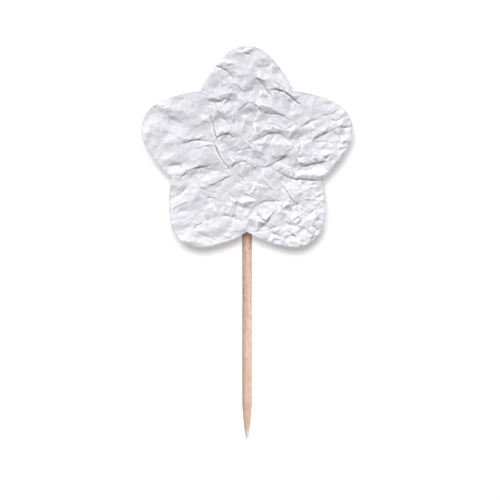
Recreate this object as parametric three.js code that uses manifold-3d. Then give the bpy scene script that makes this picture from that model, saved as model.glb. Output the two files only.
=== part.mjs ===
// Cupcake pick: a five-lobed paper star on a round wooden cocktail stick.
//
// Two stiff card stars hold the stick between them. Foam pads keep the cards at the stick's thickness, a
// bead of hot-melt glue holds the stick to the back card, and a sheet of crumpled white paper is glued on
// the outer face of each card and cut with it.
//
// Millimetres. +Z runs up the stick, from its point towards the star. The front of the star faces -Y.
// The origin is the end of the stick's lower point.

import * as THREE from 'three';
import { mergeVertices } from 'three/addons/utils/BufferGeometryUtils.js';
import Module from 'manifold-3d';

const wasm = await Module();
wasm.setup();

// Stick
const stickLength = 65;
const stickDiameter = 2.1;
const stickPointLength = 7.4;
const stickPointFlat = 0.3;
const stickPointFullness = 0.62;
const stickPointSteps = 6;
const stickSides = 32;

// Star outline: each lobe is a tip arc between two flank arcs, and two lobes meet in a sharp notch
const lobeCount = 5;
const lobeReach = 22.6;
const lobeTipRadius = 6.4;
const lobeFlankRadius = 24;
const notchReach = 16.3;
const starWidthStretch = 1.016;
const arcDivisions = 5;
const samePoint = 1e-3;

// Cards, and the paper on them
const cardThickness = 0.4;
const stickClearance = 0.15;
const paperThickness = 0.12;
const creaseMiddle = 0.42;
const creaseBand = 0.55;
const rippleHeight = 0.09;
const ripplePitch = 3.2;
const rippleSkew = 0.5;
const fillSpacing = 2.8;
const fillScatter = 3;
const rimSpacing = 0.9;

// Foam mounting pads, one behind each lobe
const padWidth = 8;
const padCornerRadius = 0.8;
const padCornerSteps = 3;
const padTipMargin = 5;
const padGlueGap = 1.2;

// Hot-melt glue round the stick's upper point
const glueWidth = 6.8;
const glueLength = 13;
const glueTopMargin = 3;
const glueFrontGap = 0.3;
const glueStickGap = 0.3;
const glueSides = 28;
const glueRings = 14;

// The pads lie a margin inside the lobes' tips, and the glued end of the stick lies below the top pad
const padReach = lobeReach - padTipMargin - padWidth / 2;
const stickPastCentre = padReach - padWidth / 2 - padGlueGap - glueTopMargin;
const starCentreHeight = stickLength - stickPastCentre;
const cardFace = stickDiameter / 2 + stickClearance;
const cardOuterFace = cardFace + cardThickness;
const lobeAngle = (2 * Math.PI) / lobeCount;

// Creases of the crumpled paper. Each has the height that the paper drops over the crease, and the
// crease's course from the centre of the star, to the right and up, seen from the front. The high side is
// on the left of the course.
const creases = [
  {
    drop: 0.29,
    course: [[-3.7, -3.7], [-4.7, -1.6], [-5.8, 0.5], [-6.6, 3.0], [-6.8, 5.5], [-7.5, 8.0]],
  },
  { drop: 0.2, course: [[-13.8, 2.4], [-11.2, 3.0], [-9.1, 3.3], [-7.9, 3.0]] },
  { drop: 0.18, course: [[-11.2, 0.9], [-8.9, 1.5], [-6.8, 2.0]] },
  { drop: 0.27, course: [[-14.4, -4.8], [-12.3, -3.5], [-9.8, -2.7], [-7.7, -2.2], [-6.0, -2.9]] },
  { drop: 0.26, course: [[-8.3, -6.7], [-6.4, -5.8], [-4.5, -5.0], [-3.2, -4.6]] },
  {
    drop: 0.31,
    course: [[-0.1, 2.8], [2.4, 3.4], [4.1, 4.3], [5.6, 4.7], [7.0, 4.5], [8.5, 3.6], [9.8, 2.4]],
  },
  { drop: 0.2, course: [[-3.5, -2.4], [-2.6, -2.0], [-1.4, -1.4], [-0.1, -1.6]] },
  {
    drop: 0.22,
    course: [[1.6, -1.4], [2.6, -2.5], [4.1, -2.7], [5.1, -2.2], [6.4, -1.2], [7.9, -0.4], [9.1, -1.2]],
  },
  {
    drop: 0.26,
    course: [[5.6, -2.9], [7.0, -3.5], [8.7, -4.4], [10.2, -5.2], [12.3, -5.0], [14.3, -5.4]],
  },
  { drop: 0.34, course: [[10.4, -3.5], [12.1, -2.5], [14.0, -1.8], [15.9, -1.2]] },
  { drop: 0.31, course: [[2.4, 15.8], [3.5, 14.8], [4.5, 13.3], [5.6, 12.2]] },
  { drop: 0.27, course: [[5.9, 13.9], [7.0, 13.5], [8.7, 12.5], [10.4, 11.2], [11.5, 10.4]] },
  { drop: 0.23, course: [[-6.0, 18.1], [-4.7, 17.7], [-3.5, 16.9], [-2.4, 15.8]] },
  { drop: 0.29, course: [[-8.7, 11.6], [-7.0, 11.2], [-5.1, 11.2], [-3.9, 11.8], [-2.4, 11.4]] },
  { drop: 0.27, course: [[-1.6, 9.7], [-0.1, 10.8], [0.9, 11.4]] },
  { drop: 0.23, course: [[1.3, 11.0], [2.4, 9.9], [3.7, 8.5]] },
  { drop: 0.22, course: [[3.9, 9.8], [4.9, 8.9], [7.0, 8.3], [8.7, 7.6]] },
  { drop: 0.2, course: [[-6.3, 9.3], [-5.1, 8.5], [-3.9, 7.6], [-2.8, 6.4]] },
  { drop: 0.23, course: [[-6.0, 3.8], [-4.7, 4.5], [-3.3, 4.5], [-2.0, 3.6]] },
  { drop: 0.29, course: [[13.8, 3.0], [15.4, 3.8], [17.1, 4.7], [19.0, 5.3]] },
  { drop: 0.24, course: [[7.0, -6.0], [8.3, -7.7], [9.3, -9.4], [10.6, -10.6]] },
  { drop: 0.2, course: [[2.0, -11.7], [3.3, -13.2], [4.5, -15.1]] },
  { drop: 0.19, course: [[3.6, -15.7], [5.4, -15.3], [7.2, -14.4]] },
  { drop: 0.23, course: [[3.0, -9.4], [4.9, -9.8], [7.2, -9.4]] },
  { drop: 0.22, course: [[11.2, 6.2], [12.9, 6.8], [14.2, 7.6], [16.1, 8.0]] },
  { drop: 0.19, course: [[-15.9, -2.2], [-14.4, -2.0], [-13.1, -2.7]] },
  { drop: 0.2, course: [[-2.6, 14.8], [-1.4, 13.9], [-0.3, 12.9]] },
  { drop: 0.19, course: [[-14.6, -10.9], [-13.1, -10.4], [-11.9, -10.0]] },
  { drop: 0.2, course: [[7.7, -12.3], [8.7, -13.6], [10.4, -14.2], [11.9, -14.0]] },
  { drop: 0.2, course: [[-17.3, 8.9], [-15.6, 7.6], [-13.5, 7.0]] },
  { drop: 0.19, course: [[-19.0, 4.7], [-17.7, 4.3], [-15.6, 4.5]] },
  { drop: 0.18, course: [[-2.2, 0.7], [-0.1, 1.3], [1.6, 1.5]] },
  { drop: 0.16, course: [[-10.0, -12.5], [-8.5, -13.6], [-6.8, -13.0], [-4.7, -12.5]] },
  { drop: 0.18, course: [[11.2, -6.6], [12.9, -7.5], [14.2, -7.9]] },
];

const materials = {
  wood: new THREE.MeshStandardMaterial({ color: 0xe6c8b0, roughness: 0.75, metalness: 0 }),
  paper: new THREE.MeshStandardMaterial({ color: 0xe8e8ee, roughness: 0.85, metalness: 0 }),
  card: new THREE.MeshStandardMaterial({ color: 0xe9e8e4, roughness: 0.8, metalness: 0 }),
  foam: new THREE.MeshStandardMaterial({ color: 0xf3f2ee, roughness: 0.95, metalness: 0 }),
  glue: new THREE.MeshStandardMaterial({ color: 0xe9e2cf, roughness: 0.35, metalness: 0 }),
};

function pointRadius(distance) {
  const flat = stickPointFlat / 2;
  const full = stickDiameter / 2;
  return flat + (full - flat) * (distance / stickPointLength) ** stickPointFullness;
}

// The stick's shape, or the room round it when there is a gap
function stickGeometry(gap = 0) {
  const lower = [new THREE.Vector2(0, -gap)];
  for (let step = 0; step <= stickPointSteps; step += 1) {
    const distance = stickPointLength * (step / stickPointSteps) ** 2;
    lower.push(new THREE.Vector2(pointRadius(distance) + gap, distance - (step === 0 ? gap : 0)));
  }
  const upper = lower.map((point) => new THREE.Vector2(point.x, stickLength - point.y)).reverse();
  return new THREE.LatheGeometry([...lower, ...upper], stickSides).rotateX(Math.PI / 2);
}

// Centres of the arcs of a lobe that points up, with the notch on its right. The right flank's arc leaves
// the tip arc smoothly and ends in the notch.
function lobeArcs() {
  const notch = new THREE.Vector2(0, notchReach).rotateAround(new THREE.Vector2(), -lobeAngle / 2);
  const tipCentre = new THREE.Vector2(0, lobeReach - lobeTipRadius);
  const across = notch.clone().sub(tipCentre);
  const gap = across.length();
  const inner = lobeFlankRadius - lobeTipRadius;
  const along = (inner ** 2 - lobeFlankRadius ** 2 + gap ** 2) / (2 * gap);
  const aside = Math.sqrt(inner ** 2 - along ** 2);
  across.normalize();
  const left = new THREE.Vector2(across.y, -across.x);
  const flankCentre = tipCentre.clone().addScaledVector(across, along).addScaledVector(left, aside);
  return { notch, tipCentre, flankCentre };
}

function drawLobe(shape, turn) {
  const { notch, tipCentre, flankCentre } = lobeArcs();
  const origin = new THREE.Vector2();
  const turned = (point) => point.clone().rotateAround(origin, turn);
  const mirrored = (point) => new THREE.Vector2(-point.x, point.y);
  const right = turned(flankCentre);
  const left = turned(mirrored(flankCentre));
  const tip = turned(tipCentre);
  const notchAngle = notch.clone().sub(flankCentre).angle();
  const joinAngle = tipCentre.clone().sub(flankCentre).angle();
  shape.absarc(right.x, right.y, lobeFlankRadius, notchAngle + turn, joinAngle + turn, false);
  shape.absarc(tip.x, tip.y, lobeTipRadius, joinAngle + turn, Math.PI - joinAngle + turn, false);
  const [leftJoin, leftNotch] = [Math.PI - joinAngle + turn, Math.PI - notchAngle + turn];
  shape.absarc(left.x, left.y, lobeFlankRadius, leftJoin, leftNotch, false);
}

// The star's outline, anticlockwise from the notch on the right of the top lobe
function starOutline() {
  const shape = new THREE.Shape();
  for (let lobe = 0; lobe < lobeCount; lobe += 1) {
    drawLobe(shape, lobe * lobeAngle);
  }
  const points = shape.getPoints(arcDivisions);
  points.forEach((point) => point.setX(point.x * starWidthStretch));
  return points.filter((point, index) => point.distanceTo(points.at(index - 1)) > samePoint);
}

const outline = starOutline();

function insideOutline(point) {
  let inside = false;
  outline.forEach((a, index) => {
    const b = outline.at(index - 1);
    const crosses = (a.y > point.y) !== (b.y > point.y);
    if (crosses && point.x < ((b.x - a.x) * (point.y - a.y)) / (b.y - a.y) + a.x) {
      inside = !inside;
    }
  });
  return inside;
}

function nearAny(point, others, distance) {
  return others.some((other) => point.distanceTo(other) < distance);
}

// Slow ripple of the sheet between its creases: a wide wave, and a skewed one of half its length
function ripple(x, y) {
  const wide = Math.sin((x + rippleSkew * y) / ripplePitch) * Math.cos((y - rippleSkew * x) / ripplePitch);
  const short = Math.sin((2 * (x - y) - rippleSkew * y) / ripplePitch + 1);
  return rippleHeight * (wide + short);
}

function restHeight(point) {
  return Math.max(paperThickness, creaseMiddle + ripple(point.x, point.y));
}

// Points with heights along one crease: one at each end, and a high and a low one at each bend between
function creasePoints({ drop, course }, turn) {
  const origin = new THREE.Vector2();
  const line = course.map(([x, y]) => new THREE.Vector2(x, y).rotateAround(origin, turn));
  return line.flatMap((point, index) => {
    const height = restHeight(point);
    if (index === 0 || index === line.length - 1) {
      return [{ point, height }];
    }
    const along = line[index + 1].clone().sub(line[index - 1]).normalize();
    const left = new THREE.Vector2(-along.y, along.x);
    const low = Math.max(paperThickness, height - drop / 2);
    return [
      { point: point.clone().addScaledVector(left, creaseBand / 2), height: low + drop },
      { point: point.clone().addScaledVector(left, -creaseBand / 2), height: low },
    ];
  });
}

// Every point of the sheet's outer face, the outline's points first
function sheetPoints(turn) {
  const rim = outline.map((point) => ({ point, height: restHeight(point) }));
  const folded = [];
  const free = (point, rimGap, gap) => {
    const taken = folded.map((other) => other.point);
    return insideOutline(point) && !nearAny(point, outline, rimGap) && !nearAny(point, taken, gap);
  };
  creases.forEach((crease) => {
    creasePoints(crease, turn).forEach((entry) => {
      if (free(entry.point, rimSpacing, creaseBand / 2)) {
        folded.push(entry);
      }
    });
  });
  const filled = [];
  const rows = Math.ceil((2 * lobeReach) / fillSpacing);
  for (let row = -rows; row <= rows; row += 1) {
    for (let column = -rows; column <= rows; column += 1) {
      const y = (row * fillSpacing * Math.sqrt(3)) / 2;
      const x = (column + (row % 2) / 2) * fillSpacing;
      const point = new THREE.Vector2(x + fillScatter * ripple(y, x), y + fillScatter * ripple(x + y, y));
      if (free(point, fillSpacing / 2, fillSpacing / 2)) {
        filled.push({ point, height: restHeight(point) });
      }
    }
  }
  return [...rim, ...folded, ...filled];
}

// Triangles whose circles hold no other point, anticlockwise, made by adding one point at a time
function triangulate(points) {
  const far = 1e5;
  const frame = [new THREE.Vector2(-far, -far), new THREE.Vector2(far, -far), new THREE.Vector2(0, far)];
  const corners = [...points, ...frame];
  const circled = (a, b, c) => {
    const [p, q, r] = [corners[a], corners[b], corners[c]];
    const [qx, qy, rx, ry] = [q.x - p.x, q.y - p.y, r.x - p.x, r.y - p.y];
    const twice = 2 * (qx * ry - qy * rx);
    const x = (ry * (qx * qx + qy * qy) - qy * (rx * rx + ry * ry)) / twice;
    const y = (qx * (rx * rx + ry * ry) - rx * (qx * qx + qy * qy)) / twice;
    return { corners: [a, b, c], centre: new THREE.Vector2(p.x + x, p.y + y), radius: Math.hypot(x, y) };
  };
  const count = points.length;
  let triangles = [circled(count, count + 1, count + 2)];
  points.forEach((point, index) => {
    const hit = triangles.filter((triangle) => point.distanceTo(triangle.centre) < triangle.radius);
    const edges = hit.flatMap(({ corners: [a, b, c] }) => [[a, b], [b, c], [c, a]]);
    const inner = new Set(edges.map(([a, b]) => `${b} ${a}`));
    const rim = edges.filter(([a, b]) => !inner.has(`${a} ${b}`));
    triangles = triangles.filter((triangle) => !hit.includes(triangle));
    triangles.push(...rim.map(([a, b]) => circled(a, b, index)));
  });
  return triangles.map((triangle) => triangle.corners).filter((triangle) => Math.max(...triangle) < count);
}

// The crumpled sheet, with what lies under its folds: flat on the card, creased on its outer side
function facingGeometry(turn) {
  const entries = sheetPoints(turn);
  const positions = entries.flatMap(({ point, height }) => [point.x, -height, point.y]);
  positions.push(...outline.flatMap((point) => [point.x, 0, point.y]));
  const base = entries.length;
  const centre = ([a, b, c]) => {
    const sum = entries[a].point.clone().add(entries[b].point).add(entries[c].point);
    return sum.divideScalar(3);
  };
  const everywhere = triangulate(entries.map((entry) => entry.point));
  const outer = everywhere.filter((triangle) => insideOutline(centre(triangle)));
  const flat = THREE.ShapeUtils.triangulateShape(outline, []);
  const inner = flat.map(([a, b, c]) => [base + a, base + c, base + b]);
  const rim = outline.flatMap((_, index) => {
    const next = (index + 1) % outline.length;
    return [[base + index, base + next, next], [base + index, next, index]];
  });
  const geometry = new THREE.BufferGeometry();
  geometry.setAttribute('position', new THREE.Float32BufferAttribute(positions, 3));
  geometry.setIndex([...outer, ...inner, ...rim].flat());
  geometry.computeVertexNormals();
  return geometry;
}

function cardGeometry() {
  const settings = { depth: cardThickness, bevelEnabled: false };
  return new THREE.ExtrudeGeometry(new THREE.Shape(outline), settings).rotateX(Math.PI / 2);
}

function padGeometry() {
  const inset = padWidth / 2 - padCornerRadius;
  const shape = new THREE.Shape();
  for (let corner = 0; corner < 4; corner += 1) {
    const turn = (corner * Math.PI) / 2;
    const centre = new THREE.Vector2(inset, inset).rotateAround(new THREE.Vector2(), turn);
    shape.absarc(centre.x, centre.y, padCornerRadius, turn, turn + Math.PI / 2, false);
  }
  const settings = { depth: cardFace * 2, bevelEnabled: false, curveSegments: padCornerSteps };
  return new THREE.ExtrudeGeometry(shape, settings).rotateX(Math.PI / 2);
}

function solidFrom(geometry) {
  const bare = geometry.clone();
  bare.deleteAttribute('normal');
  bare.deleteAttribute('uv');
  const merged = mergeVertices(bare);
  const triangles = [];
  const index = merged.index.array;
  for (let start = 0; start < index.length; start += 3) {
    const [a, b, c] = [index[start], index[start + 1], index[start + 2]];
    if (a !== b && b !== c && c !== a) {
      triangles.push(a, b, c);
    }
  }
  const vertProperties = new Float32Array(merged.attributes.position.array);
  const triVerts = new Uint32Array(triangles);
  return new wasm.Manifold(new wasm.Mesh({ numProp: 3, vertProperties, triVerts }));
}

function geometryFrom(solid) {
  const { numProp, vertProperties, triVerts } = solid.getMesh();
  const positions = [];
  for (let start = 0; start < vertProperties.length; start += numProp) {
    positions.push(vertProperties[start], vertProperties[start + 1], vertProperties[start + 2]);
  }
  const geometry = new THREE.BufferGeometry();
  geometry.setAttribute('position', new THREE.Float32BufferAttribute(positions, 3));
  geometry.setIndex([...triVerts]);
  geometry.computeVertexNormals();
  return geometry;
}

// A mound of glue on the back card that closes round the stick's upper point
function glueGeometry() {
  const depth = cardFace * 2 - glueFrontGap;
  const centreHeight = stickLength + glueTopMargin - glueLength / 2;
  const mound = new THREE.SphereGeometry(1, glueSides, glueRings);
  mound.scale(glueWidth / 2, depth, glueLength / 2).translate(0, cardFace, centreHeight);
  const block = new THREE.BoxGeometry(glueWidth * 2, depth * 2, glueLength * 2);
  block.translate(0, cardFace - depth, centreHeight);
  const solid = solidFrom(mound).intersect(solidFrom(block));
  return geometryFrom(solid.subtract(solidFrom(stickGeometry(glueStickGap))));
}

function addMesh(parent, name, geometry, material) {
  const mesh = new THREE.Mesh(geometry, material.clone());
  mesh.name = name;
  parent.add(mesh);
  return mesh;
}

// One half of the sandwich, facing -Y: the card, and the crumpled paper on its outer face
function half(side, creaseTurn) {
  const group = new THREE.Group();
  addMesh(group, `${side}_card`, cardGeometry(), materials.card).position.y = -cardFace;
  addMesh(group, `${side}_facing`, facingGeometry(creaseTurn), materials.paper).position.y = -cardOuterFace;
  return group;
}

const pick = new THREE.Group();
addMesh(pick, 'stick', stickGeometry(), materials.wood);
addMesh(pick, 'glue_bead', glueGeometry(), materials.glue);

const star = new THREE.Group();
star.position.z = starCentreHeight;
pick.add(star);

star.add(half('front', 0));
const backHalf = half('back', 2 * lobeAngle);
backHalf.rotation.z = Math.PI;
star.add(backHalf);

['top', 'upper_left', 'lower_left', 'lower_right', 'upper_right'].forEach((place, lobe) => {
  const turned = new THREE.Group();
  turned.rotation.y = -lobe * lobeAngle;
  star.add(turned);
  const pad = addMesh(turned, `foam_pad_${place}`, padGeometry(), materials.foam);
  pad.position.set(0, cardFace, padReach);
});

export default pick;
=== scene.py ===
import math

import bmesh
import bpy
import numpy as np
from mathutils import Matrix, Vector, geometry, noise
from mathutils.bvhtree import BVHTree


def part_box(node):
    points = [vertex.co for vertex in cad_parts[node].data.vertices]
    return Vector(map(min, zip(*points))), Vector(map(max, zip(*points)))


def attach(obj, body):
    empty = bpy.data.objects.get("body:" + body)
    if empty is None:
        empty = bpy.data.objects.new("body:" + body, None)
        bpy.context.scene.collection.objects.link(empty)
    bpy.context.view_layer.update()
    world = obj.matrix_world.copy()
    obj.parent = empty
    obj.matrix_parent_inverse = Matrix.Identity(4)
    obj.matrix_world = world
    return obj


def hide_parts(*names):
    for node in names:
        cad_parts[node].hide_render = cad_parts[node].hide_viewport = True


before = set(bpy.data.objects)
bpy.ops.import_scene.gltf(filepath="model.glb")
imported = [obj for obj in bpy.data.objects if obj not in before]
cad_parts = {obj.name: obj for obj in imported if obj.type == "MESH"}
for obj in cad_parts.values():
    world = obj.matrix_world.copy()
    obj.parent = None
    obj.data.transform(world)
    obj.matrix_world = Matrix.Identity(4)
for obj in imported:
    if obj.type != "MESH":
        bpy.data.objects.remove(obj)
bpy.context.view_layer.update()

# The cupcake pick: a crumpled paper star on card, on both sides of a wooden stick.
# Metres. +Z runs up the stick, and the front of the star faces -Y.

MM = 0.001

# The star's lobes, clockwise from the front
LOBES = ("top", "upper_right", "lower_right", "lower_left", "upper_left")

# Outline and paper sheets, in millimetres
OUTLINE_STEPS = 5
GRID = 0.09
GRID_REACH = 24
LATTICE_REACH = 26
SHEET_SPACING = 0.135
UNDERSIDE_SPACING = 0.6
UNDERSIDE_REACH = 0.5
SHEET_THICKNESS = 0.1
LIFT_OFF_CARD = 0.02
MEAN_HEIGHT, MEAN_OVER = 0.46, 16
RIM_HEIGHT, RIM_RISE, RIM_WIDTH = 0.85, 0.15, 1.2

# How folded the paper is at each place, which sets painted shade in its folds and a painted highlight along
# its ridges:
# the blur that finds the folds, the depth that counts as 1, and how far the cut edge counts as folded, for a
# grey line of painted shade along it, with its width
FOLD_BLUR, FOLD_UNIT = 0.1, 0.01
EDGE_PAINTED_SHADE, EDGE_SHADE_WIDTH = 1.6, 0.22

# Painted light: the paper's colour grows lighter away from a point on the stick's axis, darker in the middle
# and lighter out on the lobes, in millimetres
LIGHTER_HEIGHT = 65
LIGHTER_FROM, LIGHTER_TO = 9, 23

# Crumpling, in millimetres. A layer has its facets' size and how far the heights of their corners vary.
LAYER_ON_FOLDS = (1.2, 0.02)
LARGE_LAYER = (3.1, 0.11)
MIDDLE_LAYER = (1.7, 0.12)
SMALL_LAYER = (0.95, 0.046)
CRINKLE_LAYER = (0.7, 0.06)
FACETED_SHARE = 0.88
CLEAR_OF_COURSE = 0.35
FACET_STRENGTH = 1.2
MAIN_FOLD_BLUR, LAYER_BLUR, CREASE_BLUR = 0.12, 0.03, 0.04

# Short folds: how many, their size and steepness, and how far out they lie
SHORT_FOLDS = (110, 1.8, 0.10)
FOLDS_REACH = 23

# How much of the slow rise and fall of the sheet is taken out, and the blur that finds it
LEVELLED, LEVEL_BLUR = 0.7, 2.5

# Creases: each as a wide valley and again as a sharp line a little lower, by share of its depth and width
WIDE_SHARE, WIDE_WIDTH = 0.5, 0.25
SHARP_SHARE, SHARP_WIDTH, SHARP_DROP = 1.3, 0.1, 0.08
CREASE_STEPS = 4
CREASE_JITTER = 0.04
CREASE_REACH = 1.5
CREASE_CHANGES = 9
END_SHARE, END_RISE = 0.15, 3.2
GENTLE_SIDE = 3

# Stick
STICK_SIDES = 96
STICK_RING = 0.4
POINT_RINGS = 26
POINT_FULLNESS = 0.62
STICK_SMALLER = 0.012

# Foam pads and glue
PAD_CORNER = 0.8
PAD_WAIST = 0.035
PAD_CELLS = 0.05
PAD_INSET = 0.03
CARD_BEVEL = 0.03

# Light: each lamp's name, where it stands, its strength and its softness in degrees, and an even fill
PAPER_LAMPS = [
    ("light", Vector((-0.3, -0.6, 0.75)), 3.8, 12),
    ("right_light", Vector((0.98, -0.1, 0.1)), 0.6, 40),
    ("left_light", Vector((-0.98, -0.05, 0.15)), 0.7, 40),
]
STICK_LAMPS = [
    ("light", Vector((0.7, -0.45, 0.55)), 3.1, 50),
    ("fill", Vector((-0.45, -0.65, 0.6)), 2.0, 50),
    ("back_light", Vector((-0.3, 0.75, 0.6)), 2.8, 50),
]
INSIDE_LAMPS = [
    ("front_light", Vector((0.0, -0.6, 0.8)), 1.6, 60),
    ("back_light", Vector((0.0, 0.6, 0.8)), 1.6, 60),
    ("right_light", Vector((0.97, 0.0, 0.1)), 1.7, 60),
    ("left_light", Vector((-0.97, 0.0, 0.1)), 1.7, 60),
    ("low_light", Vector((0.0, 0.0, -1.0)), 1.3, 60),
]
FILL = 0.25
SHADOW_FROM = Vector((-0.08, -0.96, 0.27))
SHADOW_STRENGTH = 2.9
SHADOW_SOFTNESS = 24

# The photograph's frame: 500 px across, 0.21 mm to a pixel, and the stick's point and axis in it
PHOTO_SIZE = 500
PIXEL = 0.21
POINT_ROW = 438
AXIS_COLUMN = 247
LENS = 300

# Backdrop, in metres
BACKDROP_SIZE = 0.6
BACKDROP_HEIGHT = 0.04
BACKDROP_GAP = 0.2 * MM


def srgb(red, green, blue):
    """A colour given as the photograph shows it, 0 to 255, as the linear colour that a shader takes."""
    def linear(value):
        value /= 255
        return value / 12.92 if value <= 0.04045 else ((value + 0.055) / 1.055) ** 2.4
    return (linear(red), linear(green), linear(blue), 1)


# Outline

def card_outline(node):
    """Centre of a card's star, and its outline round that centre, anticlockwise from the front, in mm."""
    corners = {(round(v.co.x / MM, 3), round(v.co.z / MM, 3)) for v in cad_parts[node].data.vertices}
    points = np.array(sorted(corners))
    centre = points.mean(axis=0)
    points -= centre
    return centre, points[np.argsort(np.arctan2(points[:, 1], points[:, 0]))]


def curve_through(points, steps):
    """Points on a smooth curve through the given ones, with steps to each stretch, without the last point."""
    ends = [2 * points[0] - points[1], 2 * points[-1] - points[-2]]
    a = np.vstack([ends[0], points, ends[1]])
    t = (np.arange(steps) / steps)[:, None]
    made = []
    for before, start, end, after in zip(a, a[1:], a[2:], a[3:]):
        bend = 2 * before - 5 * start + 4 * end - after
        twist = 3 * start - before - 3 * end + after
        made.append(start + t * (end - before) / 2 + t ** 2 * bend / 2 + t ** 3 * twist / 2)
    return np.vstack(made)


def smooth_outline(points, steps):
    """The outline with round lobes and sharp notches."""
    reach = np.hypot(points[:, 0], points[:, 1])
    count = len(points)
    notches = [i for i in range(count) if reach[i] < min(reach[i - 1], reach[(i + 1) % count])]
    spans = zip(notches, notches[1:] + [notches[0] + count])
    return np.vstack([curve_through(points[np.arange(a, b + 1) % count], steps) for a, b in spans])


centre, coarse_outline = card_outline("front_card")
outline = smooth_outline(coarse_outline, OUTLINE_STEPS)


def outline_reach(angle):
    """Distance from the star's centre to its outline in each direction."""
    angles = np.arctan2(outline[:, 1], outline[:, 0])
    return np.interp(angle, angles, np.hypot(outline[:, 0], outline[:, 1]), period=2 * math.pi)


# Relief of the crumpled paper: heights over the card in mm, on a square grid round the star's centre

grid_line = np.arange(-GRID_REACH, GRID_REACH, GRID)
grid_x, grid_y = np.meshgrid(grid_line, grid_line)
line_frequency = np.fft.fftfreq(len(grid_line), GRID)
frequency = np.hypot(*np.meshgrid(line_frequency, line_frequency))


def blurred(field, radius):
    """The same field, smoothed over a radius in mm."""
    smoothing = np.exp(-2 * (math.pi * radius * frequency) ** 2)
    return np.fft.ifft2(np.fft.fft2(field) * smoothing).real


def on_grid(field, x, y):
    """Values of a grid's field at any points, read between its lines."""
    u, v = ((p - grid_line[0]) / GRID for p in (x, y))
    i, j = np.floor(u).astype(int), np.floor(v).astype(int)
    s, t = u - i, v - j
    below = field[j, i] * (1 - s) + field[j, i + 1] * s
    above = field[j + 1, i] * (1 - s) + field[j + 1, i + 1] * s
    return below * (1 - t) + above * t


def ramp(value, width):
    """Rises smoothly from 0 to 1 where the value passes 0."""
    return 1 / (1 + np.exp(-value / width))


def fine_share(x, y):
    """Where the fine wrinkles are: few on the left, more up the middle and low down, many on the right."""
    right = ramp(0.9 * x - 0.5 * y - 6, 3)
    low_down = ramp(-(y + 8), 2)
    up_the_middle = np.exp(-(x / 8) ** 2)
    return 0.6 + 0.5 * right + 0.3 * low_down + 0.35 * up_the_middle


def crinkle_share(x, y):
    """Where the smallest crinkles are: at the ends of the right and lower right lobes."""
    return ramp(0.7 * x - 0.5 * y - 9, 2)


def seen_from_above(tree):
    """Height of a surface at every grid point, just off the lines where its faces meet."""
    down = Vector((0, 0, -1))
    aside, along = 0.0013, 0.0007
    high_above = 50
    rays = zip(grid_x.ravel() + aside, grid_y.ravel() + along)
    hits = (tree.ray_cast(Vector((x, y, high_above)), down)[0] for x, y in rays)
    return np.array([hit.z if hit else np.nan for hit in hits]).reshape(grid_x.shape)


def faceted(field, rng, courses, size, rough):
    """The same relief in flat facets between random points, with facet edges along the given courses."""
    margin = 0.2
    line = np.arange(grid_line[0] + margin, grid_line[-1] - margin, size)
    x, y = (place.ravel() + rng.uniform(-0.5, 0.5, len(line) ** 2) * size
            for place in np.meshgrid(line, line))
    x, y = (np.clip(place, line[0], line[-1]) for place in (x, y))
    on_course = np.vstack(courses)
    gap = np.hypot(x[:, None] - on_course[:, 0], y[:, None] - on_course[:, 1]).min(axis=1)
    points = np.vstack([on_course, np.stack([x, y], axis=1)[gap > CLEAR_OF_COURSE * size]])
    edges, passed = [], 0
    for course in courses:
        edges += [(passed + i, passed + i + 1) for i in range(len(course) - 1)]
        passed += len(course)
    points, _, faces, *_ = geometry.delaunay_2d_cdt([Vector(p) for p in points], edges, [], 0, 1e-4)
    x, y = np.array([point[:] for point in points]).T
    lift = rough * rng.standard_normal(len(x)) * (np.arange(len(x)) >= len(on_course))
    corners = [Vector(corner) for corner in zip(x, y, on_grid(field, x, y) + lift)]
    flat = seen_from_above(BVHTree.FromPolygons(corners, faces))
    return np.where(np.isnan(flat), field, flat)


def in_photo(points):
    """Places in the photograph, in pixels, as mm from the star's centre."""
    column, row = np.array(points, dtype=float).T
    return np.stack([(column - AXIS_COLUMN) * PIXEL, (POINT_ROW - row) * PIXEL - centre[1]], axis=1)


def rotated(points, turned):
    """Points turned anticlockwise round the star's centre."""
    cos, sin = math.cos(turned), math.sin(turned)
    return points @ np.array([[cos, sin], [-sin, cos]])


def add_crease(heights, rng, course, depth, width):
    """Adds one jagged, uneven crease, steep on its upper left side, that fades out at its ends."""
    line = np.vstack([curve_through(course, CREASE_STEPS), course[-1:]])
    line += rng.normal(0, CREASE_JITTER, line.shape)
    low, high = line.min(axis=0) - CREASE_REACH, line.max(axis=0) + CREASE_REACH
    near = (grid_x > low[0]) & (grid_x < high[0]) & (grid_y > low[1]) & (grid_y < high[1])
    x, y = grid_x[near], grid_y[near]
    best = np.full(x.shape, np.inf)
    best_side, best_reach = np.zeros(x.shape), np.zeros(x.shape)
    passed = 0
    run, rise = line[-1] - line[0]
    steep_side = 1 if run + 0.5 * rise > 0 else -1
    for start, end in zip(line, line[1:]):
        length = np.hypot(*(end - start))
        along = (end - start) / length
        t = np.clip((x - start[0]) * along[0] + (y - start[1]) * along[1], 0, length)
        dx, dy = x - start[0] - t * along[0], y - start[1] - t * along[1]
        distance = np.hypot(dx, dy)
        closer = distance < best
        upper = steep_side * (dy * along[0] - dx * along[1])
        best = np.where(closer, distance, best)
        best_side = np.where(closer, upper, best_side)
        best_reach = np.where(closer, passed + t, best_reach)
        passed += length
    reach = best_reach / passed
    fade = np.minimum(1, END_RISE * np.minimum(reach, 1 - reach) + END_SHARE)
    changes = rng.uniform(0.5, 1.5, CREASE_CHANGES)
    uneven = np.interp(reach, np.linspace(0, 1, CREASE_CHANGES), changes)
    wall = np.where(best_side > 0, width, GENTLE_SIDE * width)
    heights[near] -= depth * fade * uneven * np.exp(-best / wall)


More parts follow.
